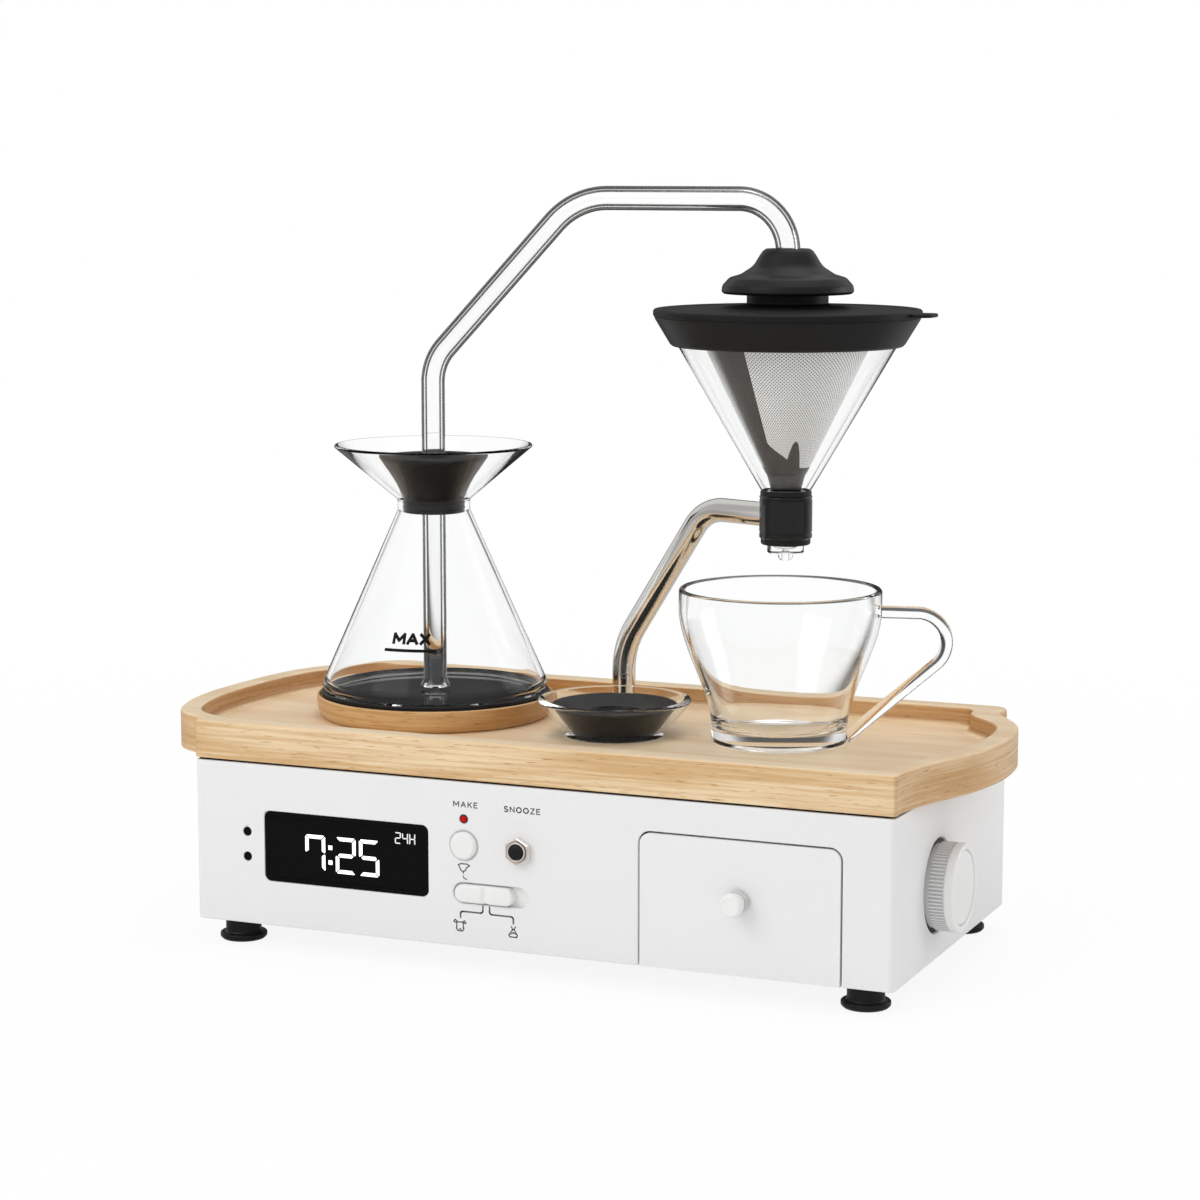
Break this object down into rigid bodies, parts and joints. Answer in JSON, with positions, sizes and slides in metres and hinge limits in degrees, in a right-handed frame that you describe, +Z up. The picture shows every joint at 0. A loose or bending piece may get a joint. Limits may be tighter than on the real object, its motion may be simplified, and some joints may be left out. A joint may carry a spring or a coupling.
{
  "type": "coffee maker alarm clock",
  "caption": "Bedside coffee maker with an alarm clock: heated glass flask, riser tube and dripper over a cup, on a wooden tray above a white clock housing with a drawer.",
  "frame": {"origin": "middle of the footprint at table level", "axes": "+X to the right seen from the front, +Y to the back, +Z up"},
  "size_m": [0.332, 0.166, 0.3037],
  "materials": {
    "white_body": "satin white",
    "white_plastic": "satin white",
    "base_grey": "fine texture",
    "beech": "oiled beech",
    "black_rubber": "matte",
    "black_gloss": "gloss",
    "black_plastic": "matte",
    "heater_black": "smooth",
    "clear_glass": "clear",
    "polished_steel": "polished",
    "screw_steel": "plated",
    "steel_mesh": "fine woven",
    "aluminium": "satin",
    "ceramic_white": "ceramic",
    "board_green": "solder mask",
    "copper": "enamelled copper wire",
    "led_red": "translucent"
  },
  "bodies": {
    "base": {"housing": "white_body", "slide_switch": "white_plastic", "base_plate": "base_grey", "tray": "beech", "coaster": "beech", "feet": "black_rubber", "cone_gasket": "black_rubber", "filter_ring": "black_rubber", "filter_lid": "black_rubber", "collar": "black_gloss", "display_window": "black_gloss", "sensor_windows": "black_gloss", "power_inlet": "black_plastic", "speaker": "black_plastic", "encoder": "black_plastic", "start_switch": "black_plastic", "heater_pan": "black_plastic", "heater_plate": "heater_black", "dripper_cone": "clear_glass", "support_arm": "polished_steel", "arm_nut": "polished_steel", "snooze_nut": "polished_steel", "snooze_barrel": "polished_steel", "base_screws": "screw_steel", "tray_screws": "screw_steel", "drawer_rails": "screw_steel", "mesh_filter": "steel_mesh", "cooling_well": "aluminium", "heat_sink": "aluminium", "cooler_tile": "ceramic_white", "control_board": "board_green", "power_board": "board_green", "display_module": "board_green", "induction_coil": "copper", "status_led": "led_red"},
    "drawer": {"drawer": "white_body", "drawer_knob": "white_plastic", "drawer_knob_screw": "screw_steel"},
    "start_button": {"start_button": "white_plastic"},
    "snooze_button": {"snooze_button": "black_gloss"},
    "slide_cap": {"slide_cap": "white_plastic"},
    "rotary_knob": {"rotary_knob": "white_plastic", "knob_face": "white_plastic", "knob_shaft": "polished_steel"},
    "flask": {"flask": "clear_glass", "flask_base_ring": "black_rubber"},
    "riser": {"riser_tube": "clear_glass", "flask_stopper": "black_rubber", "stopper_rings": "black_rubber", "dispenser_cap": "black_rubber"},
    "cup": {"cup": "clear_glass"},
    "milk_vessel": {"milk_vessel": "clear_glass"},
    "milk_stopper": {"milk_stopper": "black_rubber"}
  },
  "joints": [
    {"name": "drawer_slide", "type": "slide", "parent": "base", "child": "drawer", "axis": [0, -1, 0], "range_m": [0, 0.095]},
    {"name": "start_press", "type": "slide", "parent": "base", "child": "start_button", "axis": [0, 1, 0], "range_m": [0, 0.0015], "stiffness_N_per_m": 600},
    {"name": "snooze_press", "type": "slide", "parent": "base", "child": "snooze_button", "axis": [0, 1, 0], "range_m": [0, 0.0012], "stiffness_N_per_m": 600},
    {"name": "mode_slide", "type": "slide", "parent": "base", "child": "slide_cap", "axis": [1, 0, 0], "range_m": [0, 0.005]},
    {"name": "knob_turn", "type": "hinge", "parent": "base", "child": "rotary_knob", "pos_m": [0.1475, -0.0176, 0.0382], "axis": [1, 0, 0], "continuous": true},
    {"name": "flask_lift", "type": "slide", "parent": "base", "child": "flask", "axis": [0, 0, 1], "range_m": [0, 0.1]},
    {"name": "riser_lift", "type": "slide", "parent": "flask", "child": "riser", "axis": [0, 0, 1], "range_m": [0, 0.15]},
    {"name": "cup_draw", "type": "slide", "parent": "base", "child": "cup", "axis": [0, -0.9816, 0.1908], "range_m": [0, 0.15]},
    {"name": "milk_vessel_lift", "type": "slide", "parent": "base", "child": "milk_vessel", "axis": [0, 0, 1], "range_m": [0, 0.012]},
    {"name": "milk_stopper_lift", "type": "slide", "parent": "milk_vessel", "child": "milk_stopper", "axis": [0, 0, 1], "range_m": [0, 0.025]}
  ]
}
